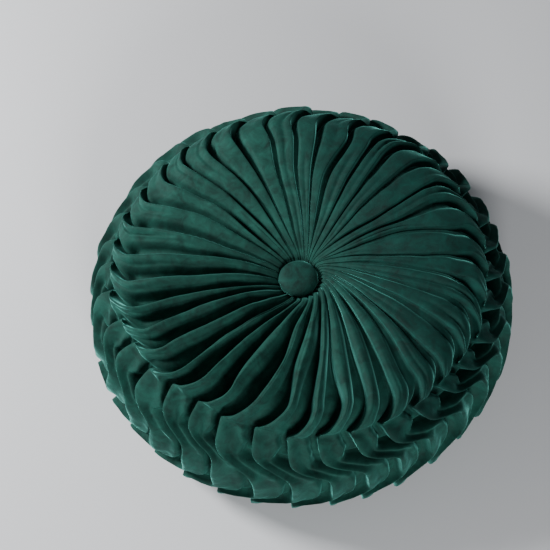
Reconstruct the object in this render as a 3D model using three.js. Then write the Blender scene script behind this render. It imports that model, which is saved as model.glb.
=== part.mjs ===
// Round velvet cushion with gathered faces and a smocked side, lying on its back.
// Millimetres, +Z up. The origin is on the resting plane, under the middle of the cushion.
// The cover is one filled solid: pleats run in from the rim to a covered button on each face,
// and on the side the same pleats are stitched into four rows that make them zigzag.
import * as THREE from "three";

// Driving dimensions
const DIAMETER = 380; // over the tops of the pleats
const PLEATS = 36; // one for each stitch of a row
const ROW_SPACING = 43; // between rows of stitches, along the curve of the side
const STITCH_ROWS = 4;
const BAND_DROP = 1.5; // the middle of the four rows is this far below the widest part
const BUTTON_DIAMETER = 35;
const BUTTON_HEIGHT = 11;
const BUTTON_EDGE = 0.3; // height of its widest part, as a share of the button
const BUTTON_FOOT = 0.72; // its flat foot, as a share of the diameter
const BUTTON_SIDES = 28;
const DOME_STEPS = 7;
const REST_DEPTH = 62.5; // the lower pleats are pressed flat here, below the middle of the thickness
const PIECE_GAP = 0.5; // between a button and the gathered cloth under it

// The line over the pleat tops, from the middle of the front face round the side to the back.
// Each middle is a small well that a button sits in.
const WIDEST = { radius: DIAMETER / 2, height: -4 };
const COVER_PROFILE = [
  { radius: 9, height: 27 },
  { radius: 19, height: 28 },
  { radius: 25, height: 36.5 },
  { radius: 48, height: 49 },
  { radius: 78, height: 58.5 },
  { radius: 108, height: 63.5 },
  { radius: 134, height: 64 },
  { radius: 156, height: 58 },
  { radius: 175, height: 43 },
  { radius: 186, height: 22 },
  WIDEST,
  { radius: 188.5, height: -28 },
  { radius: 180, height: -47 },
  { radius: 162, height: -60.5 },
  { radius: 136, height: -66 },
  { radius: 108, height: -64 },
  { radius: 78, height: -57 },
  { radius: 48, height: -45.5 },
  { radius: 27, height: -32 },
  { radius: 20, height: -22 },
  { radius: 9, height: -21 },
];

// How deep the creases are below the pleat tops, against the arc from the middle of the smocked band
const CREASE_DEPTH = [
  { arc: 0, depth: 14 },
  { arc: 70, depth: 13 },
  { arc: 105, depth: 11 },
  { arc: 165, depth: 8 },
  { arc: 215, depth: 3 },
];

// One pleat across: a crease, a steep edge, and a back that falls away to the next crease
const PLEAT_SECTION = [
  { across: 0, rise: 0 },
  { across: 0.16, rise: 0.86 },
  { across: 0.36, rise: 1 },
  { across: 0.6, rise: 0.84 },
  { across: 0.83, rise: 0.5 },
];

// Mesh rows between the middle of the smocked band and its outermost row of stitches, as the
// distance from those stitches. A pleat starts low and narrow there, under the tip of a face pleat.
const SIDE_ROWS = [
  { inside: 0, rise: 0.5, sharpness: 1.5 },
  { inside: 8, rise: 0.74, sharpness: 1.2 },
  { inside: 15.5, rise: 0.95, sharpness: 0.85 },
  { inside: 24, rise: 1, sharpness: 0.7 },
  { inside: 33, rise: 1, sharpness: 0.7 },
  { inside: 43, rise: 1, sharpness: 0.7 },
  { inside: 54, rise: 1, sharpness: 0.7 },
  { inside: 64.5, rise: 1, sharpness: 0.8 },
];

// Mesh rows of a face pleat, as the distance outside those stitches, where it ends in a full tip,
// and of the well, as the distance from its middle ring
const FACE_PLEAT = { rise: 1, sharpness: 0.9 };
const PLEAT_TIP = { rise: 1, sharpness: 0.6 };
const TIP_ROWS = [3, 9];
const FRONT_FACE_ROWS = [20, 38, 66, 106];
const BACK_FACE_ROWS = [27, 43, 60, 100];
const WELL_ROWS = [24, 11, 0];

// How the pleats lean, in pleat widths, and how uneven they are
const ZIGZAG = 0.54; // to either side, between one row of stitches and the next
const ZIGZAG_SNAP = 2; // how suddenly a pleat crosses over half-way between two rows
const TAIL_LENGTH = 24; // arc over which a face pleat bends to its stitch
const TAIL_BEND = 0.76;
const PHASE_SPREAD = 0.09;
const HEIGHT_SPREAD = 0.2;

// Where the face pleats run to: the front ones to a gather beside the middle, and past it
const AIM_BESIDE = 8;
const AIM_SHIFT = 18; // from the middle to the gather
const AIM_TOWARDS = THREE.MathUtils.degToRad(33);
const AIM_FROM = 140; // radius where they begin to turn to it
const AIM_END = 22; // and where they end, under the edge of the button
const BACK_BESIDE = -8;

const TURN = 2 * Math.PI;
const SMOCKED_HALF = (ROW_SPACING * (STITCH_ROWS - 1)) / 2;

// A repeatable number from 0 to 1 for a pleat and a use
function uneven(pleat, use) {
  const wave = Math.sin(pleat * 12.9898 + use * 78.233) * 43758.5453;
  return wave - Math.floor(wave);
}

function smoothstep(low, high, value) {
  return THREE.MathUtils.smoothstep(value, low, high);
}

// The value of a short table at an arc length, by straight lines
function tableValue(table, arc) {
  const next = table.findIndex((row) => row.arc >= arc);
  if (next === 0) return table[0].depth;
  if (next < 0) return table[table.length - 1].depth;
  const [a, b] = [table[next - 1], table[next]];
  return THREE.MathUtils.lerp(a.depth, b.depth, (arc - a.arc) / (b.arc - a.arc));
}

// The profile as a curve in the XZ plane, with the arcs of its front and back. All arcs below are
// measured from the middle of the smocked band, with a negative arc on the front.
function coverProfile() {
  const points = COVER_PROFILE.map((p) => new THREE.Vector3(p.radius, 0, p.height));
  const curve = new THREE.CatmullRomCurve3(points, false, "centripetal");
  const stepsBetweenPoints = 40;
  curve.arcLengthDivisions = (points.length - 1) * stepsBetweenPoints;
  const lengths = curve.getLengths();
  const front = lengths[COVER_PROFILE.indexOf(WIDEST) * stepsBetweenPoints] + BAND_DROP;
  return { curve, front, back: curve.getLength() - front };
}

// Mesh rows from the middle of a face to the middle of the band: distance, and shape of the pleats
function faceToBand(faceRows, faceLength) {
  const well = WELL_ROWS.map((d) => ({ arc: faceLength - d, ...FACE_PLEAT }));
  const face = faceRows.map((d) => ({ arc: SMOCKED_HALF + d, ...FACE_PLEAT }));
  const tip = TIP_ROWS.map((d) => ({ arc: SMOCKED_HALF + d, ...PLEAT_TIP }));
  const side = SIDE_ROWS.map(({ inside, ...shape }) => ({ arc: SMOCKED_HALF - inside, ...shape }));
  return [...well.reverse(), ...face.reverse(), ...tip.reverse(), ...side];
}

// Mesh rows down the whole cover
function meshRows(profile) {
  const front = faceToBand(FRONT_FACE_ROWS, profile.front).map((row) => ({ ...row, arc: -row.arc }));
  const back = faceToBand(BACK_FACE_ROWS, profile.back).reverse();
  return [...front, ...back.slice(1)];
}

// Sideways place of a pleat in pleat widths, at an arc and radius: a zigzag on the side that goes
// nearly straight down at the stitches, and on a face a tail that bends to the stitch
function pleatDrift(arc, radius, angle) {
  const out = Math.abs(arc) - SMOCKED_HALF;
  const side = Math.sign(arc);
  if (out <= 0) {
    const wave = Math.cos((Math.PI * (arc + SMOCKED_HALF)) / ROW_SPACING);
    return (-ZIGZAG * Math.tanh(ZIGZAG_SNAP * wave)) / Math.tanh(ZIGZAG_SNAP);
  }
  const bend = 1 - (1 - Math.min(out / TAIL_LENGTH, 1)) ** 2;
  const aim = side < 0 ? AIM_BESIDE + AIM_SHIFT * Math.sin(AIM_TOWARDS - angle) : BACK_BESIDE;
  const turned = aim * Math.max(1 / Math.max(radius, AIM_END) - 1 / AIM_FROM, 0) * (PLEATS / TURN);
  return side * (ZIGZAG - TAIL_BEND * bend) + turned;
}

// The point of the cover on one mesh row, at one place across one pleat
function coverPoint(profile, row, pleat, section) {
  const share = THREE.MathUtils.clamp((row.arc + profile.front) / (profile.front + profile.back), 0, 1);
  const top = profile.curve.getPointAt(share);
  const along = profile.curve.getTangentAt(share);
  const own = 1 - HEIGHT_SPREAD * uneven(pleat, 1);
  const stands = section.rise ** row.sharpness * row.rise * own;
  const sunk = tableValue(CREASE_DEPTH, Math.abs(row.arc)) * (1 - stands);
  const radius = top.x + along.z * sunk;
  const height = top.z - along.x * sunk;

  const middle = (pleat + section.across) * (TURN / PLEATS);
  const drift = pleatDrift(row.arc, top.x, middle) + PHASE_SPREAD * (uneven(pleat, 2) - 0.5);
  const angle = middle + drift * (TURN / PLEATS);
  return new THREE.Vector3(
    radius * Math.cos(angle),
    radius * Math.sin(angle),
    Math.max(height, -REST_DEPTH),
  );
}

// A closed surface over rings of points, with a centre point at each end
function closedRings(rings, firstCentre, lastCentre) {
  const across = rings[0].length;
  const points = [...rings.flat(), firstCentre, lastCentre];
  const first = rings.length * across;
  const index = [];
  for (let j = 0; j < across; j++) {
    const k = (j + 1) % across;
    index.push(first, j, k);
    for (let i = 0; i < rings.length - 1; i++) {
      const [a, b] = [i * across + j, i * across + k];
      index.push(a, a + across, b, b, a + across, b + across);
    }
    const last = (rings.length - 1) * across;
    index.push(first + 1, last + k, last + j);
  }
  const geometry = new THREE.BufferGeometry().setFromPoints(points);
  geometry.setIndex(index);
  geometry.computeVertexNormals();
  return geometry;
}

function meanPoint(points) {
  const sum = points.reduce((total, p) => total.add(p), new THREE.Vector3());
  return sum.divideScalar(points.length);
}

function coverGeometry() {
  const profile = coverProfile();
  const rings = meshRows(profile).map((row) => {
    const ring = [];
    for (let pleat = 0; pleat < PLEATS; pleat++) {
      for (const section of PLEAT_SECTION) {
        ring.push(coverPoint(profile, row, pleat, section));
      }
    }
    return ring;
  });
  return closedRings(rings, meanPoint(rings[0]), meanPoint(rings[rings.length - 1]));
}

// A covered button: a low dome with a rounded edge and a shallow back
function buttonGeometry() {
  const radius = BUTTON_DIAMETER / 2;
  const edge = BUTTON_HEIGHT * BUTTON_EDGE;
  const outline = [new THREE.Vector2(0, 0), new THREE.Vector2(radius * BUTTON_FOOT, 0)];
  for (let i = 0; i < DOME_STEPS; i++) {
    const angle = (i / DOME_STEPS) * (Math.PI / 2);
    const height = edge + (BUTTON_HEIGHT - edge) * Math.sin(angle);
    outline.push(new THREE.Vector2(radius * Math.cos(angle), height));
  }
  outline.push(new THREE.Vector2(0, BUTTON_HEIGHT));
  return new THREE.LatheGeometry(outline, BUTTON_SIDES).rotateX(Math.PI / 2);
}

const velvet = new THREE.MeshStandardMaterial({ color: 0x103d34, roughness: 0.85, metalness: 0 });
velvet.name = "velvet";

function namedMesh(name, geometry) {
  const mesh = new THREE.Mesh(geometry, velvet.clone());
  mesh.name = name;
  return mesh;
}

// Everything is placed about the middle of the thickness. The group is then lifted onto the resting
// plane and centred, because uneven pleats reach a little further on one side.
const cushion = new THREE.Group();
cushion.name = "cushion";
const lifted = new THREE.Group();
cushion.add(lifted);

lifted.add(namedMesh("cover", coverGeometry()));

// Each button sits a little clear of the floor of its well
const frontWell = COVER_PROFILE[1].height;
const backWell = COVER_PROFILE[COVER_PROFILE.length - 2].height;
const frontButton = namedMesh("button_front", buttonGeometry());
frontButton.position.z = frontWell + PIECE_GAP;
lifted.add(frontButton);

const backButton = namedMesh("button_back", buttonGeometry());
backButton.rotation.x = Math.PI;
backButton.position.z = backWell - PIECE_GAP;
lifted.add(backButton);

const middle = new THREE.Box3().setFromObject(lifted).getCenter(new THREE.Vector3());
lifted.position.set(-middle.x, -middle.y, REST_DEPTH);

export default cushion;
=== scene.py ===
# The round pleated cushion as it looks: dark green velvet, pleated faces, smocked side, covered buttons.
# Metres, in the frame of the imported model. The shape of the folds is worked out in millimetres.
import math
from types import SimpleNamespace

import bpy
import numpy as np
from mathutils import Matrix, Vector, noise


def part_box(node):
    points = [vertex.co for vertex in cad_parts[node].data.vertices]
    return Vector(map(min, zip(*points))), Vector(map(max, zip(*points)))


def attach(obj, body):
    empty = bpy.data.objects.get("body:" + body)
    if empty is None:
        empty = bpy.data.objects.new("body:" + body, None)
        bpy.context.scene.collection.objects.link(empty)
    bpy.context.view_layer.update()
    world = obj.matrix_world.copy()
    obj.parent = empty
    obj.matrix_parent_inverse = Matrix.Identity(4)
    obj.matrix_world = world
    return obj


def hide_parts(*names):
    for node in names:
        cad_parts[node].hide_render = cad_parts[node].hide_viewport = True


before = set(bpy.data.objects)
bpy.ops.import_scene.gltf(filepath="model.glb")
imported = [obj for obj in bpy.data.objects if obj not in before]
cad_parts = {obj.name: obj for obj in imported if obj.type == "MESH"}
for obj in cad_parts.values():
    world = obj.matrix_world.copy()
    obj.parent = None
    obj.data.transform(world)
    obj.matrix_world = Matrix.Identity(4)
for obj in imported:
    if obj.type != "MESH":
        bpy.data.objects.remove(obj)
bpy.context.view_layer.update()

# The cushion, in millimetres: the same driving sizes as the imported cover
DIAMETER = 380
REST_DEPTH = 62.5  # from the middle of the thickness down to the resting plane
PLEATS = 36
ROW_SPACING = 43
STITCH_ROWS = 4
BAND_DROP = 1.5  # the middle of the four rows is this far below the widest part
SMOCKED_HALF = ROW_SPACING * (STITCH_ROWS - 1) / 2
WIDEST = (DIAMETER / 2, -4)
COVER_PROFILE = [  # radius and height of the line over the pleat tops, front to back
    (9, 27),
    (16.5, 28.3),
    (18.6, 31.5),
    (24, 36),
    (48, 49),
    (78, 58.5),
    (108, 63.5),
    (134, 64),
    (156, 58),
    (175, 43),
    (186, 22),
    WIDEST,
    (188.5, -28),
    (180, -47),
    (162, -60.5),
    (136, -66),
    (108, -64),
    (78, -57),
    (48, -45.5),
    (27, -32),
    (20, -22),
    (9, -21),
]

# Arcs are measured from the middle of the smocked band, and are negative on the front
CREASE_DEPTH = [  # arc, depth of the creases
    (-215, 1.5),
    (-192, 4.5),
    (-180, 8.5),
    (-150, 10),
    (-105, 13),
    (-75, 16),
    (-57, 18),
    (-28, 19),
    (-8, 14),
    (8, 9),
    (30, 8),
    (50, 13),
    (75, 16),
    (105, 13),
    (150, 10),
    (180, 8.5),
    (192, 4.5),
    (215, 1.5),
]

# One pleat across: the near side goes up from its own crease to the crest, which hangs over it.
# The flat top runs on from there, then the far side falls to a foot that leads to the next crease.
NEAR_STEPS = 5
TOP_STEPS = 9
FAR_STEPS = 6
FOOT_STEPS = 4
PLEAT_SAMPLES = NEAR_STEPS + TOP_STEPS + FAR_STEPS + FOOT_STEPS

# Down one pleat, at a distance outside the outermost stitches: width of the near side, the top and
# the far side as shares of the pleat, level of the foot, fall of the top, height of the crest, how
# far it reaches over the stitches and how far it leans, in millimetres
ALONG_PLEAT = [  # outside, near, top, far, foot, fall, height, reach, lean
    (-64.0, 0.18, 0.62, 0.14, 0.12, 0.3, 1.0, 0.0, 2.0),
    (-54.0, 0.16, 0.6, 0.14, 0.06, 0.42, 1.0, 0.0, 2.6),
    (-43.0, 0.15, 0.64, 0.13, 0.06, 0.46, 1.0, 0.0, 3.2),
    (-34.0, 0.14, 0.54, 0.14, -0.1, 0.46, 1.0, 0.0, 3.2),
    (-26.0, 0.14, 0.3, 0.16, -0.35, 0.3, 1.02, 0.0, 3.0),
    (-19.0, 0.14, 0.44, 0.14, -0.1, 0.44, 0.98, 0.0, 2.8),
    (-12.0, 0.14, 0.68, 0.12, 0.1, 0.44, 0.94, 0.0, 2.8),
    (-6.0, 0.18, 0.56, 0.18, 0.12, 0.34, 0.84, 0.0, 3.0),
    (-1.0, 0.24, 0.38, 0.3, 0.35, 0.14, 0.68, 0.5, 3.4),
    (1.5, 0.2, 0.34, 0.34, 0.45, 0.14, 0.9, 4.0, 3.6),
    (4.0, 0.17, 0.34, 0.34, 0.52, 0.14, 1.0, 5.0, 3.4),
    (9.0, 0.15, 0.4, 0.32, 0.54, 0.14, 1.03, 3.5, 2.8),
    (18.0, 0.14, 0.46, 0.26, 0.42, 0.14, 1.02, 1.0, 2.2),
    (36.0, 0.14, 0.52, 0.24, 0.3, 0.12, 1.0, 0.0, 1.6),
    (90.0, 0.16, 0.54, 0.26, 0.25, 0.12, 1.0, 0.0, 1.2),
    (150.0, 0.2, 0.46, 0.3, 0.25, 0.12, 1.0, 0.0, 0.8),
]
LOW_PLEAT = [  # outside, then shares of the top and foot that are left at the bottom of the face
    (-8.0, 1.0, 1.0),
    (-1.0, 1.3, 0.6),
    (3.0, 0.9, 0.6),
    (8.0, 0.42, 0.8),
    (14.0, 0.32, 1.1),
    (28.0, 0.42, 1.6),
    (50.0, 0.7, 1.6),
    (80.0, 1.05, 1.5),
    (110.0, 1.0, 1.0),
]

# The folds differ round the cushion. Each side is the direction, in degrees, where one of the
# differences is strongest; it fades to nothing at a right angle to that.
LOW_SIDE = 240  # tops are rounded, and follow LOW_PLEAT
LOW_DOME = 0.3  # height of that rounding, as a share of the crease's depth
LOW_NEAR = 0.35  # added to the near side's width, as a share of it
LOW_FALL = 0.35  # taken off the fall of the top
LOW_LEAN = 0.6  # share of the lean that is taken off
WIDE_SIDE = 250  # the smocked side shows widest
TIPS_IN = 16  # most that the front stitches are moved towards the face
ROWS_OUT = 13  # most that the other rows are moved away from it
WIDE_SNAP = 1.6  # added to ZIGZAG_SNAP
FINGER_SIDE = 222  # tips are narrow fingers
FINGER_NEAR = 0.3  # shares of the near and far sides that are taken off
FINGER_FAR = 0.45
TUCKED_SIDE = 130  # the pockets beside the tips are nearly filled
TUCKED_FOOT = 0.9  # level that the foot is raised towards
TUCKED_SHARE = 0.7  # and how far
POCKET_SIDE = 135  # those pockets are shallow
POCKET_SHARE = 0.4  # of their depth, taken off
SHADED_SIDE = 185  # tops are narrower and fall away, and the creases are deeper
SHADED_TOP = 0.4  # share of the top's width that is taken off
SHADED_FAR = 0.14  # added to the far side's width
SHADED_FOOT = 0.7  # share of the foot's level that is taken off
SHADED_FALL = 0.25  # added to the fall of the top
SHADED_DEEPER = 0.35  # added to the creases' depth, as a share of it
FLAT_SIDE = 5  # the face's creases are shallowest
FLAT_SHARE = 0.65  # of their depth, taken off
HIGH_SIDE = 85  # tops are wider, and creases shallower
HIGH_TOP = 0.25  # added to the top's width, as a share of it
HIGH_FAR = 0.08  # taken off the far side's width
HIGH_SHARE = 0.45  # of the creases' depth, taken off
HIGH_SECOND = 0.5  # share of the second crease that is taken off
PLAIN_SIDE = 275  # the second crease nearly goes
PLAIN_SECOND = 0.8  # share of it that is taken off

# Where those changes come in and fade, as distances outside the outermost stitches
ON_FACE = (-4, 24)
FINGER_IN, FINGER_OUT = (0, 8), (70, 25)
TUCKED_IN, TUCKED_OUT = (-5, 0), (24, 10)
POCKET_IN, POCKET_OUT = (-12, -4), (26, 10)
FLATTER_IN = (4, 40)
FACE_WANDER_IN = (0, 40)

# And against the arc from the middle of the smocked band
TIPS_SHIFT = (-5, -85)
ROWS_SHIFT_IN, ROWS_SHIFT_OUT = (-90, -5), (90, 15)
LATE_IN = (4, 30)

# Unevenness from pleat to pleat: the amount, and the distance down a pleat over which it changes
SIDE_WANDER = (0.12, ROW_SPACING)  # of the crest, in pleat widths
FACE_WANDER = (0.26, 60)
TOP_SPREAD = (0.2, 50)
SECOND_PLACE = (0.14, 50)
SECOND_SPREAD = (0.7, 60)
HEIGHT_SPREAD = (0.1, 24)
DEPTH_SPREAD = (0.3, 45)
LATE = 3.5  # most millimetres that a pleat meets its stitches early or late
SIDE_TOP_SPREAD = 0.4  # share of TOP_SPREAD that is left on the side
SECOND_RANGE = (-0.5, 0.6)  # a pleat's own second crease, none where it is below zero
SECOND_FOLD = 0.75  # deepest second crease in the top of a face pleat

# How a pleat narrows where it crosses over between two rows of stitches
STEEPEST = 2.4
CROSSING_POWER = 0.5
NARROWEST_TOP = 0.06

# Shape of the parts across a pleat
RIDGE_FALL = (0.05, 0.75)  # shares of the top where a side fold starts and stops falling
NEAR_POWER = 0.8  # of a rounded near side
FAR_POWERS = (1.8, 0.8)
TOP_UNLEANS = 0.7  # the lean that is lost over the top
FAR_LEAN = 0.3

# Small unevenness of the stuffed cloth: height and size of each kind of bump, in millimetres
BUMPS = ((0.9, 17), (0.5, 6))

FRONT_FACE_ROWS = 46
FRONT_SIDE_ROWS = 36
BACK_SIDE_ROWS = 19
BACK_FACE_ROWS = 12
ROW_CROWDING = 1.4  # face rows lie closer together towards the stitches
LEAN_SHARE = 0.17  # most that a crest leans, as a share of the pleat's width

ZIGZAG = 0.54  # in pleat widths, to either side of the pleat's own place
ZIGZAG_SNAP = 2.0  # how suddenly a pleat crosses over between two rows of stitches
TAIL_LENGTH = 24
TAIL_BEND = 0.76
AIM_BESIDE = 8  # the front pleats aim this far beside the middle of the cushion
AIM_SHIFT = 18  # and at a gather this far from it
AIM_TOWARDS = math.radians(33)
AIM_FROM = 140  # radius where they begin to turn to it
AIM_END = 22  # and where they end, under the button's edge
BACK_BESIDE = -8
TURN = 2 * math.pi
MM = 0.001

# Way across each part of a pleat, from 0 up to its end
NEAR_T = np.arange(NEAR_STEPS) / NEAR_STEPS
TOP_T = np.arange(TOP_STEPS) / TOP_STEPS
FAR_T = np.arange(FAR_STEPS) / FAR_STEPS
FOOT_T = np.arange(FOOT_STEPS) / FOOT_STEPS

# The draws are made in the order in which cover_points asks for them
random = np.random.default_rng(7)


def table(rows, column, at):
    """A column of a short table, at the values of its first column."""
    values = np.array(rows, float)
    return np.interp(at, values[:, 0], values[:, column])


def smoothstep(low, high, value):
    t = np.clip((value - low) / (high - low), 0, 1)
    return t * t * (3 - 2 * t)


# Share of a crest's lean at each point across its pleat
LEAN_ACROSS = np.concatenate([
    smoothstep(0, 1, NEAR_T),
    1 - TOP_UNLEANS * TOP_T,
    FAR_LEAN * (1 - FAR_T),
    np.zeros(FOOT_STEPS),
])


def smooth_curve(knots, samples=24):
    """A smooth line through the knots, as dense points."""
    knots = np.array(knots, float)
    gaps = np.linalg.norm(np.diff(knots, axis=0), axis=1)
    at = np.concatenate([[0], np.cumsum(gaps)])
    slopes = np.gradient(knots, at, axis=0)
    points = []
    for i, gap in enumerate(gaps):
        t = np.linspace(0, 1, samples, endpoint=False)[:, None]
        start, end = knots[i], knots[i + 1]
        rise, fall = slopes[i] * gap, slopes[i + 1] * gap
        points.append(
            start * (1 + 2 * t) * (1 - t) ** 2
            + end * t * t * (3 - 2 * t)
            + rise * t * (1 - t) ** 2
            - fall * t * t * (1 - t)
        )
    return np.vstack([*points, knots[-1:]])


def cover_profile():
    """Dense points down the cover, and their arc from the middle of the smocked band."""
    points = smooth_curve(COVER_PROFILE)
    arc = np.concatenate([[0], np.cumsum(np.linalg.norm(np.diff(points, axis=0), axis=1))])
    widest = arc[np.argmin(np.hypot(*(points - WIDEST).T))]
    return points, arc - widest - BAND_DROP


def mesh_rows(front, back):
    """Arc of each mesh row down the cover."""
    face = np.linspace(1, 0, FRONT_FACE_ROWS, endpoint=False) ** ROW_CROWDING
    front_side = np.linspace(-SMOCKED_HALF, 0, FRONT_SIDE_ROWS, endpoint=False)
    back_side = np.linspace(0, SMOCKED_HALF, BACK_SIDE_ROWS, endpoint=False)
    back_face = np.linspace(0, 1, BACK_FACE_ROWS) ** ROW_CROWDING
    return np.concatenate([
        -SMOCKED_HALF + (front + SMOCKED_HALF) * face,
        front_side,
        back_side,
        SMOCKED_HALF + (back - SMOCKED_HALF) * back_face,
    ])


def pleat_drift(arc, radius, angle, snap):
    """Sideways place of the crests in pleat widths: a zigzag on the side, a bent tail on a face."""
    out = np.abs(arc) - SMOCKED_HALF
    side = np.sign(arc)
    wave = np.cos(math.pi * (arc + SMOCKED_HALF) / ROW_SPACING)
    zigzag = -ZIGZAG * np.tanh(snap * wave) / np.tanh(snap)
    bend = 1 - (1 - np.clip(out / TAIL_LENGTH, 0, 1)) ** 2
    front_aim = AIM_BESIDE + AIM_SHIFT * np.sin(AIM_TOWARDS - angle)
    aim = np.where(side < 0, front_aim, BACK_BESIDE)
    turned = aim * np.maximum(1 / np.maximum(radius, AIM_END) - 1 / AIM_FROM, 0) * PLEATS / TURN
    return np.where(out <= 0, zigzag, side * (ZIGZAG - TAIL_BEND * bend) + turned)


def towards(angle, degrees):
    """One on that side of the cushion, and nothing at a right angle to it."""
    return np.clip(np.cos(angle - math.radians(degrees)), 0, 1)


def uneven(rows, amount, spacing):
    """Repeatable unevenness for each mesh row and pleat, smooth along the pleat."""
    knots = np.arange(-270, 340, spacing)
    values = random.uniform(-amount, amount, (len(knots), PLEATS))
    at = (rows - knots[0]) / spacing
    knot = np.floor(at).astype(int)
    mix = smoothstep(0, 1, at - knot)[:, None]
    return values[knot] * (1 - mix) + values[knot + 1] * mix


def crumple(radius, angle, level):
    """Small unevenness of the stuffed cloth, in millimetres, at each point of the cover."""
    points = np.stack([radius * np.cos(angle), radius * np.sin(angle), level], axis=-1).reshape(-1, 3)
    bumps = [
        sum(height * noise.noise(Vector(point) / size) for height, size in BUMPS)
        for point in points
    ]
    return np.array(bumps).reshape(radius.shape)


def along_pleats(rows, rest_angle):
    """Where each mesh row of each pleat lies against its own stitches, as an arc."""
    # Tips are not all in line: each pleat meets its stitches a little early or late
    out = np.abs(rows)[:, None]
    late = random.uniform(-LATE, LATE, PLEATS)[None, :] * smoothstep(*LATE_IN, out)
    local = (out + late) * np.sign(rows)[:, None]

    # Where the side shows widest, its front stitches lie further in and the other rows further out
    wider = towards(rest_angle, WIDE_SIDE) ** 2
    row = rows[:, None]
    local = local + TIPS_IN * wider * smoothstep(*TIPS_SHIFT, row)
    return local - ROWS_OUT * wider * smoothstep(*ROWS_SHIFT_IN, row) * smoothstep(*ROWS_SHIFT_OUT, row)


def crest_places(rows, row_radius, rest_angle, local, outside):
    """Sideways place of each crest, in pleat widths."""
    snap = ZIGZAG_SNAP + WIDE_SNAP * towards(rest_angle, WIDE_SIDE) ** 2
    drift = pleat_drift(local, row_radius, rest_angle, snap)
    crest = np.arange(PLEATS)[None, :] + drift + uneven(rows, *SIDE_WANDER)
    return crest + uneven(rows, *FACE_WANDER) * smoothstep(*FACE_WANDER_IN, outside)


def face_zones(rest_angle, outside):
    """How strongly each mesh row of each pleat shows the differences round the cushion."""
    on_face = smoothstep(*ON_FACE, outside)
    finger = towards(rest_angle, FINGER_SIDE) * smoothstep(*FINGER_IN, outside)
    tucked = towards(rest_angle, TUCKED_SIDE) * smoothstep(*TUCKED_IN, outside)
    pocket = POCKET_SHARE * towards(rest_angle, POCKET_SIDE) * smoothstep(*POCKET_IN, outside)
    return SimpleNamespace(
        on_face=on_face,
        low=towards(rest_angle, LOW_SIDE),
        high=on_face * towards(rest_angle, HIGH_SIDE),
        shaded=on_face * towards(rest_angle, SHADED_SIDE),
        flat=towards(rest_angle, FLAT_SIDE),
        plain=towards(rest_angle, PLAIN_SIDE),
        finger=finger * smoothstep(*FINGER_OUT, outside),
        tucked=tucked * smoothstep(*TUCKED_OUT, outside),
        pocket=pocket * smoothstep(*POCKET_OUT, outside),
    )


def near_width(outside, zones):
    """Width of the near side, as a share of the pleat."""
    wider = LOW_NEAR * zones.on_face * zones.low
    return table(ALONG_PLEAT, 1, outside) * (1 + wider - FINGER_NEAR * zones.finger)


def top_and_far_widths(rows, outside, zones, steep):
    """Widths of the top and the far side, as shares of the pleat."""
    spread = SIDE_TOP_SPREAD + (1 - SIDE_TOP_SPREAD) * zones.on_face
    top = table(ALONG_PLEAT, 2, outside) * (1 + uneven(rows, *TOP_SPREAD) * spread)
    lowered = zones.low * (table(LOW_PLEAT, 1, outside) - 1)
    top = top * (1 + lowered - SHADED_TOP * zones.shaded * (1 - zones.low))
    top = top * (1 + HIGH_TOP * zones.high)
    far = table(ALONG_PLEAT, 3, outside) + SHADED_FAR * zones.shaded - HIGH_FAR * zones.high
    far = far * (1 - FINGER_FAR * zones.finger)

    # On the side the gap beside a top is wider along its row where the pleat runs more sideways
    crossing = np.clip(steep, 1, STEEPEST) ** (CROSSING_POWER * (1 - zones.on_face))
    return np.maximum(1 - (1 - top) * crossing, NARROWEST_TOP), far * crossing


def foot_level(outside, zones):
    """Level of the foot: 0 at the bottom of the crease and 1 at the crest."""
    foot = table(ALONG_PLEAT, 4, outside) * (1 + zones.low * (table(LOW_PLEAT, 2, outside) - 1))
    foot = foot * (1 - SHADED_FOOT * zones.shaded * (1 - zones.low))
    return foot + (TUCKED_FOOT - foot) * TUCKED_SHARE * zones.tucked


def rise_across(rows, outside, zones, across):
    """Level of each point across each pleat: 0 at the bottom of the crease and 1 at the crest."""
    foot = foot_level(outside, zones)[..., None]
    fall = table(ALONG_PLEAT, 5, outside) + SHADED_FALL * zones.shaded
    fall = fall - LOW_FALL * zones.on_face * zones.low
    fall = fall[..., None] * np.ones(TOP_STEPS)

    # The second crease in the top
    second = random.uniform(*SECOND_RANGE, PLEATS) + uneven(rows, *SECOND_SPREAD)
    second = second.clip(0, 1) * SECOND_FOLD
    second = second * zones.on_face * (1 - PLAIN_SECOND * zones.plain) * (1 - HIGH_SECOND * zones.high)
    second = second[..., None] * (1 - np.abs(2 * TOP_T - 1)) ** 3

    ridged = (1 - zones.on_face)[..., None]
    dropped = across**2 * (1 - ridged) + smoothstep(*RIDGE_FALL, across) * ridged
    rolled = (zones.on_face * zones.low)[..., None]
    dome = LOW_DOME * rolled * 4 * across * (1 - across)
    edge = 1 - fall[..., :1]
    return np.concatenate([
        np.sqrt(1 - (1 - NEAR_T) ** 2) * (1 - rolled) + NEAR_T**NEAR_POWER * rolled,
        1 - fall * dropped - second + dome,
        foot + (edge - foot) * (1 - FAR_T ** FAR_POWERS[0]) ** FAR_POWERS[1],
        foot * (1 - FOOT_T**2),
    ], axis=-1)


def crease_relief(rows, outside, zones):
    """Depth of the creases beside each pleat, as a share of the table's."""
    flatter = np.maximum(FLAT_SHARE * zones.flat, HIGH_SHARE * zones.high)
    relief = 1 - smoothstep(*FLATTER_IN, outside) * flatter + SHADED_DEEPER * zones.shaded
    return relief * (1 + zones.on_face * uneven(rows, *DEPTH_SPREAD))


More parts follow.
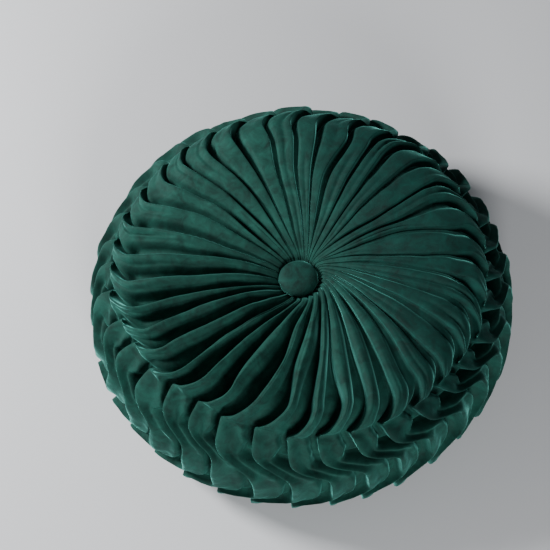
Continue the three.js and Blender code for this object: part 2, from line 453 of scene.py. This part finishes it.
def cover_points():
    """The cover's points in millimetres: a ring for each mesh row, front to back."""
    profile, profile_arc = cover_profile()
    rows = mesh_rows(profile_arc[0], profile_arc[-1])
    rest_angle = np.arange(PLEATS)[None, :] * TURN / PLEATS
    row_radius = np.interp(rows, profile_arc, profile[:, 0])[:, None]
    width = row_radius * TURN / PLEATS

    # Crests, and the creases on their near side
    local = along_pleats(rows, rest_angle)
    outside = np.abs(local) - SMOCKED_HALF
    zones = face_zones(rest_angle, outside)
    crest = crest_places(rows, row_radius, rest_angle, local, outside)
    crease = crest - near_width(outside, zones)
    following = np.roll(crease, -1, axis=1)
    following[:, -1] += PLEATS
    slope = np.gradient(crest, rows, axis=0) * width  # sideways over down, in millimetres
    steep = np.sqrt(1 + slope**2)

    # Places across each pleat, in pleat widths
    top, far = top_and_far_widths(rows, outside, zones, steep)
    middle = 0.5 + uneven(rows, *SECOND_PLACE)[..., None]  # place of the second crease in the top
    across = np.where(TOP_T < 0.5, 2 * TOP_T * middle, middle + (2 * TOP_T - 1) * (1 - middle))
    span = (following - crest)[..., None]
    place = np.concatenate([
        crest[..., None] + (NEAR_T - 1) * (crest - crease)[..., None],
        crest[..., None] + span * top[..., None] * across,
        crest[..., None] + span * (top[..., None] + far[..., None] * FAR_T),
        crest[..., None] + span * (1 - (1 - top - far)[..., None] * (1 - FOOT_T)),
    ], axis=-1)

    # How high the crest stands, and how far it leans square to its own run and over the stitches
    rise = rise_across(rows, outside, zones, across)
    height = table(ALONG_PLEAT, 6, outside) * (1 + uneven(rows, *HEIGHT_SPREAD))
    lean_mm = np.minimum(table(ALONG_PLEAT, 8, outside), LEAN_SHARE * width)
    lean_mm = (lean_mm * (1 - LOW_LEAN * zones.on_face * zones.low))[..., None] * LEAN_ACROSS
    place = place - lean_mm / (steep * width)[..., None]
    side = np.sign(-rows)[:, None, None]
    reach = (table(ALONG_PLEAT, 7, outside)[..., None] * side) * rise
    arc = rows[:, None, None] + lean_mm * (slope / steep)[..., None] + reach
    arc = np.clip(arc, profile_arc[0], profile_arc[-1])

    # Depth below the line over the pleat tops
    pocket = zones.pocket[..., None]
    stands = (pocket + (1 - pocket) * rise) * height[..., None]
    own = crease_relief(rows, outside, zones)
    share = np.clip((place - crest[..., None]) / span, 0, 1)
    depth = own[..., None] * (1 - share) + np.roll(own, -1, axis=1)[..., None] * share
    sunk = table(CREASE_DEPTH, 1, arc) * (1 - stands) * depth

    tangent = np.gradient(profile, profile_arc, axis=0)
    radius = np.interp(arc, profile_arc, profile[:, 0])
    level = np.interp(arc, profile_arc, profile[:, 1])
    slope_r = np.interp(arc, profile_arc, tangent[:, 0])
    slope_z = np.interp(arc, profile_arc, tangent[:, 1])
    angle = place * TURN / PLEATS
    sunk = sunk + crumple(radius, angle, level)
    radius = radius + slope_z * sunk
    level = np.maximum(level - slope_r * sunk, -REST_DEPTH)
    points = np.stack([radius * np.cos(angle), radius * np.sin(angle), level + REST_DEPTH], axis=-1)
    return points.reshape(len(rows), PLEATS * PLEAT_SAMPLES, 3)


def ring_mesh(name, points):
    """A closed mesh over rings of points, with a fan at each end."""
    rings, around = points.shape[:2]
    corners = points.reshape(-1, 3).tolist()
    corners.append(points[0].mean(axis=0).tolist())
    corners.append(points[-1].mean(axis=0).tolist())
    faces = []
    for i in range(rings - 1):
        for j in range(around):
            k = (j + 1) % around
            faces.append((i * around + j, (i + 1) * around + j, (i + 1) * around + k, i * around + k))
    last = (rings - 1) * around
    for j in range(around):
        k = (j + 1) % around
        faces.append((rings * around, j, k))
        faces.append((rings * around + 1, last + k, last + j))
    mesh = bpy.data.meshes.new(name)
    mesh.from_pydata(corners, [], faces)
    mesh.shade_smooth()
    piece = bpy.data.objects.new(name, mesh)
    bpy.context.collection.objects.link(piece)
    return piece


# The velvet, with lengths in metres
PATCHES = {"Scale": 75, "Detail": 9, "Roughness": 0.68, "Distortion": 0.6}
TONES_FROM, TONES_TO = 0.3, 0.72
# Painted shade: the colour is darkened over the top face's half away from the key light
PAINTED_SHADE_DIRECTION = (0.98, 0.17, 0)
PAINTED_SHADE_FADE = 0.08  # it comes in over this distance from the middle
PAINTED_SHADE_LEVELS = (0.085, 0.105)  # and between these heights, so that the side is left as it is
PAINTED_SHADE_TINT = (0.1, 0.56, 0.58, 1)
VELVET = {
    "Roughness": 0.8,
    "Specular IOR Level": 0.2,
    "Sheen Weight": 0.55,
    "Sheen Roughness": 0.34,
    "Sheen Tint": (0.26, 0.95, 0.82, 1),
}
PILE = {"Scale": 900, "Detail": 2}
PILE_BUMP = {"Strength": 0.5, "Distance": 0.0004}
COVER_TONES = ((0.0022, 0.019, 0.0145, 1), (0.009, 0.075, 0.056, 1))
BUTTON_TONES = ((0.001, 0.009, 0.007, 1), (0.006, 0.06, 0.046, 1))


def set_inputs(node, values):
    for name, value in values.items():
        node.inputs[name].default_value = value


def velvet_material(name, dark, light):
    material = bpy.data.materials.new(name)
    material.use_nodes = True
    nodes, links = material.node_tree.nodes, material.node_tree.links
    shader = nodes["Principled BSDF"]
    place = nodes.new("ShaderNodeTexCoord")
    patches = nodes.new("ShaderNodeTexNoise")
    set_inputs(patches, PATCHES)
    tones = nodes.new("ShaderNodeValToRGB")
    first, last = tones.color_ramp.elements
    first.position, first.color = TONES_FROM, dark
    last.position, last.color = TONES_TO, light
    links.new(place.outputs["Object"], patches.inputs["Vector"])
    links.new(patches.outputs["Fac"], tones.inputs["Fac"])

    # Painted shade: the top face is darkened on the side away from the key light
    axes = nodes.new("ShaderNodeSeparateXYZ")
    along = nodes.new("ShaderNodeVectorMath")
    along.operation = "DOT_PRODUCT"
    along.inputs[1].default_value = PAINTED_SHADE_DIRECTION
    across = nodes.new("ShaderNodeMapRange")
    across.interpolation_type = "SMOOTHSTEP"
    set_inputs(across, {"From Min": 0, "From Max": PAINTED_SHADE_FADE})
    up = nodes.new("ShaderNodeMapRange")
    up.interpolation_type = "SMOOTHSTEP"
    set_inputs(up, {"From Min": PAINTED_SHADE_LEVELS[0], "From Max": PAINTED_SHADE_LEVELS[1]})
    both = nodes.new("ShaderNodeMath")
    both.operation = "MULTIPLY"
    painted_shade = nodes.new("ShaderNodeMix")
    painted_shade.data_type = "RGBA"
    painted_shade.blend_type = "MULTIPLY"
    painted_shade.inputs["B"].default_value = PAINTED_SHADE_TINT
    links.new(place.outputs["Object"], axes.inputs["Vector"])
    links.new(place.outputs["Object"], along.inputs[0])
    links.new(along.outputs["Value"], across.inputs["Value"])
    links.new(axes.outputs["Z"], up.inputs["Value"])
    links.new(across.outputs["Result"], both.inputs[0])
    links.new(up.outputs["Result"], both.inputs[1])
    links.new(both.outputs["Value"], painted_shade.inputs["Factor"])
    links.new(tones.outputs["Color"], painted_shade.inputs["A"])
    links.new(painted_shade.outputs["Result"], shader.inputs["Base Color"])
    set_inputs(shader, VELVET)

    # The short pile
    pile = nodes.new("ShaderNodeTexNoise")
    set_inputs(pile, PILE)
    bump = nodes.new("ShaderNodeBump")
    set_inputs(bump, PILE_BUMP)
    links.new(place.outputs["Object"], pile.inputs["Vector"])
    links.new(pile.outputs["Fac"], bump.inputs["Height"])
    links.new(bump.outputs["Normal"], shader.inputs["Normal"])
    return material


BUTTON_RINGS = 22
BUTTON_AROUND = 96
BUTTON_EDGE = 0.38  # height of its widest part, as a share of the button
BUTTON_ROUNDNESS = 0.62  # lower is more like a drum
TUCKS = 11
TUCK_DEPTH = 0.02  # as a share of the radius
TUCK_FROM = (0.35, 0.6)  # they come in over this part of the way from top to foot


def button_points(node, upper):
    """A domed button with a few soft tucks at its edge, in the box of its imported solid."""
    low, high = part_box(node)
    centre = (low + high) / 2
    radius = (high.x - low.x) / 2
    thick = high.z - low.z
    points = np.zeros((BUTTON_RINGS, BUTTON_AROUND, 3))
    for i in range(BUTTON_RINGS):
        t = (i + 1) / (BUTTON_RINGS + 1)
        turn = t * math.pi
        r = radius * math.sin(turn) ** BUTTON_ROUNDNESS
        share = 1 - BUTTON_EDGE if turn < math.pi / 2 else BUTTON_EDGE
        z = share * thick * math.cos(turn)
        for j in range(BUTTON_AROUND):
            angle = j * TURN / BUTTON_AROUND
            tuck = TUCK_DEPTH * math.cos(TUCKS * angle) * smoothstep(*TUCK_FROM, t)
            points[i, j] = (
                centre.x + r * (1 - tuck) * math.cos(angle),
                centre.y + r * (1 - tuck) * math.sin(angle) * (1 if upper else -1),
                low.z + BUTTON_EDGE * thick + z if upper else high.z - BUTTON_EDGE * thick - z,
            )
    return points


velvet = velvet_material("green_velvet", *COVER_TONES)
button_velvet = velvet_material("button_velvet", *BUTTON_TONES)

cover = ring_mesh("velvet_cover", cover_points() * MM)
cover.data.materials.append(velvet)
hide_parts("cover")
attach(cover, "root")

for node, upper in (("button_front", True), ("button_back", False)):
    button = ring_mesh("velvet_" + node, button_points(node, upper))
    button.data.materials.append(button_velvet)
    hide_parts(node)
    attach(button, "root")

# Floor, light and camera, in metres
FLOOR_HALF = 3
FLOOR_DROP = 0.0005  # keeps it just clear of the resting plane
FLOOR_PAINT = {"Base Color": (0.62, 0.63, 0.65, 1), "Roughness": 0.9}
LIGHTS = [  # name, place, size, watts
    ("key", (-1.15, 0.4, 0.85), 0.4, 37),
    ("fill", (0.2, -1.6, 0.75), 0.6, 29),
]
LIGHT_TARGET = (0, 0, 0.05)
DAYLIGHT = {"Color": (0.9, 0.95, 1, 1), "Strength": 0.15}


def floor_mesh():
    mesh = bpy.data.meshes.new("floor")
    h = FLOOR_HALF
    mesh.from_pydata([(-h, -h, 0), (h, -h, 0), (h, h, 0), (-h, h, 0)], [], [(0, 1, 2, 3)])
    floor = bpy.data.objects.new("floor", mesh)
    bpy.context.collection.objects.link(floor)
    paint = bpy.data.materials.new("pale_floor")
    paint.use_nodes = True
    set_inputs(paint.node_tree.nodes["Principled BSDF"], FLOOR_PAINT)
    mesh.materials.append(paint)
    floor.location.z = -FLOOR_DROP
    return floor


floor_mesh()


def area_light(name, place, size, watts):
    data = bpy.data.lights.new(name, "AREA")
    data.shape = "DISK"
    data.size = size
    data.energy = watts
    light = bpy.data.objects.new(name, data)
    bpy.context.collection.objects.link(light)
    light.location = place
    light.rotation_euler = (Vector(LIGHT_TARGET) - Vector(place)).to_track_quat("-Z", "Y").to_euler()


for name, place, size, watts in LIGHTS:
    area_light(name, place, size, watts)
world = bpy.data.worlds.new("studio")
bpy.context.scene.world = world
world.use_nodes = True
set_inputs(world.node_tree.nodes["Background"], DAYLIGHT)

CAMERA_ELEVATION = math.radians(63.1)
CAMERA_DISTANCE = 1.25  # assumed: the photo does not fix it
CAMERA_AIM_RIGHT = math.radians(-0.97)
CAMERA_AIM_UP = math.radians(0.93)
CAMERA_ROLL = math.radians(-3.7)
CAMERA_LENS = 90.85  # millimetres, as the sensor's width
CAMERA_SENSOR = 36
CAMERA_NEAR = 0.05


def photo_camera():
    data = bpy.data.cameras.new("photo")
    data.sensor_width = CAMERA_SENSOR
    data.lens = CAMERA_LENS
    data.clip_start = CAMERA_NEAR
    camera = bpy.data.objects.new("photo", data)
    bpy.context.collection.objects.link(camera)
    back = Vector((0, -math.cos(CAMERA_ELEVATION), math.sin(CAMERA_ELEVATION)))
    facing = (-back).to_track_quat("-Z", "Y").to_matrix().to_4x4()
    aim = Matrix.Rotation(-CAMERA_AIM_RIGHT, 4, "Y") @ Matrix.Rotation(CAMERA_AIM_UP, 4, "X")
    place = Vector((0, 0, REST_DEPTH * MM)) + back * CAMERA_DISTANCE
    camera.matrix_world = Matrix.Translation(place) @ facing @ aim @ Matrix.Rotation(CAMERA_ROLL, 4, "Z")
    bpy.context.scene.camera = camera


photo_camera()

bpy.context.view_layer.update()
